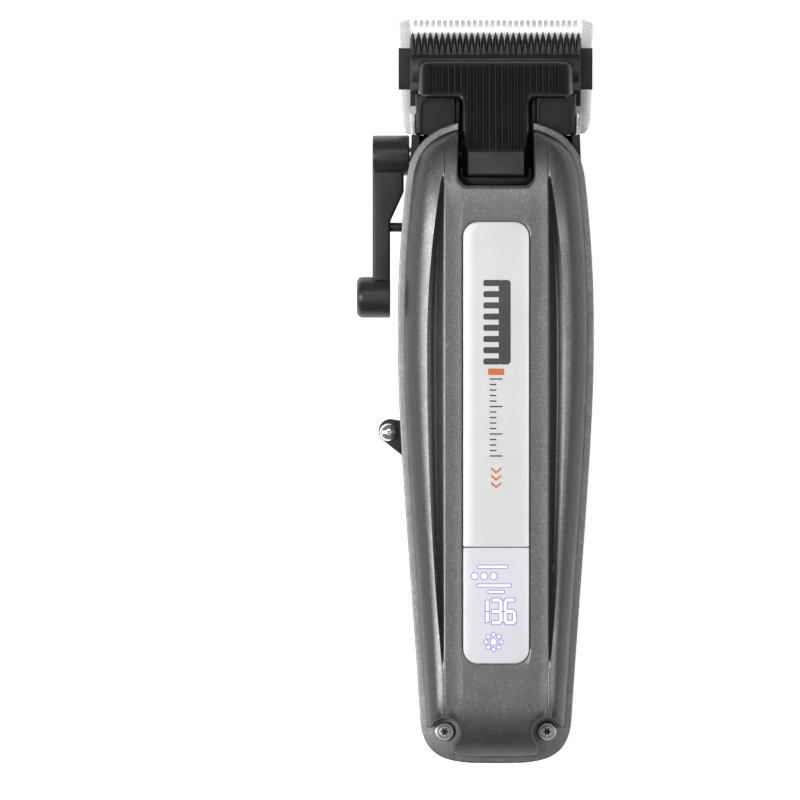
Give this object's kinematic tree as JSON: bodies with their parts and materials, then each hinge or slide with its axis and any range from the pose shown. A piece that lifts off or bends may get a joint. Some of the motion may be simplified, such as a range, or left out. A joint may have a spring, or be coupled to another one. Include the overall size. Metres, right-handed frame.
{
  "type": "hair clipper",
  "caption": "Cordless hair clipper with a contoured grey front cover, T-shaped blade cover, toothed blade set, side taper lever and power slider.",
  "frame": {"origin": "centre of the flat belly of the rear housing, where the clipper rests when laid on its back", "axes": "+Z out of the front face, +Y along the clipper towards the blade tips, the taper lever on the -X side"},
  "size_m": [0.0557, 0.175, 0.0355],
  "materials": {
    "cover_grey": "fine matte flake coating",
    "shell_black": "satin",
    "gloss_black": "semi-gloss",
    "inner_grey": "moulded",
    "blade_steel": "ground and polished",
    "cutter_black": "black coated steel",
    "motor_steel": "plated",
    "chrome": "polished",
    "plate_silver": "satin",
    "window_clear": "smoked clear",
    "diffuser_white": "translucent",
    "board_green": "solder mask",
    "cell_wrap": "shrink wrap",
    "nickel": "nickel plate",
    "damper_rubber": "matte",
    "lead_red": "insulated lead",
    "lead_black": "insulated lead"
  },
  "bodies": {
    "housing": {"upper_cover": "cover_grey", "rear_housing": "shell_black", "head_block": "shell_black", "blade_cover": "shell_black", "fixed_blade": "blade_steel", "blade_spring": "motor_steel", "motor_case": "motor_steel", "motor_endcap": "inner_grey", "motor_bracket": "motor_steel", "motor_damper": "damper_rubber", "battery_cell": "cell_wrap", "cell_tab_rear": "nickel", "cell_tab_front": "nickel", "inner_chassis": "inner_grey", "main_board": "board_green", "switch_contact": "inner_grey", "charge_socket": "nickel", "port_surround": "gloss_black", "display_board": "board_green", "light_diffuser": "diffuser_white", "face_plate": "plate_silver", "display_window": "window_clear", "cover_screw_left": "motor_steel", "blade_screw_left": "motor_steel", "motor_screw_left": "motor_steel", "cover_screw_right": "motor_steel", "blade_screw_right": "motor_steel", "motor_screw_right": "motor_steel", "motor_lead_left": "lead_black", "motor_lead_right": "lead_red"},
    "lever": {"taper_lever": "gloss_black", "taper_shaft": "motor_steel", "lever_screw": "motor_steel", "detent_pin": "gloss_black"},
    "carriage": {"taper_carriage": "inner_grey"},
    "cutter": {"moving_blade": "cutter_black", "cutter_yoke": "inner_grey"},
    "rotor": {"motor_rotor": "motor_steel", "cam_roller": "nickel"},
    "power_slider": {"switch_slider": "gloss_black", "switch_knob": "chrome"}
  },
  "joints": [
    {"name": "taper_lever_pivot", "type": "hinge", "parent": "housing", "child": "lever", "pos_m": [-0.0245, 0.0553, 0.014], "axis": [-1, 0, 0], "range_deg": [0, 38]},
    {"name": "taper_slide", "type": "slide", "parent": "housing", "child": "carriage", "axis": [0, 1, 0], "range_m": [0, 0.00185]},
    {"name": "cutter_stroke", "type": "slide", "parent": "carriage", "child": "cutter", "axis": [1, 0, 0], "range_m": [-0.0013, 0.0013]},
    {"name": "motor_spin", "type": "hinge", "parent": "housing", "child": "rotor", "pos_m": [0, 0.04, 0.0185], "axis": [0, 1, 0], "continuous": true},
    {"name": "power_switch", "type": "slide", "parent": "housing", "child": "power_slider", "axis": [0, 1, 0], "range_m": [0, 0.004]}
  ],
  "couplings": [
    {"joint": "taper_lever_pivot", "follows": "taper_slide", "rad_per_m": 358.5}
  ]
}
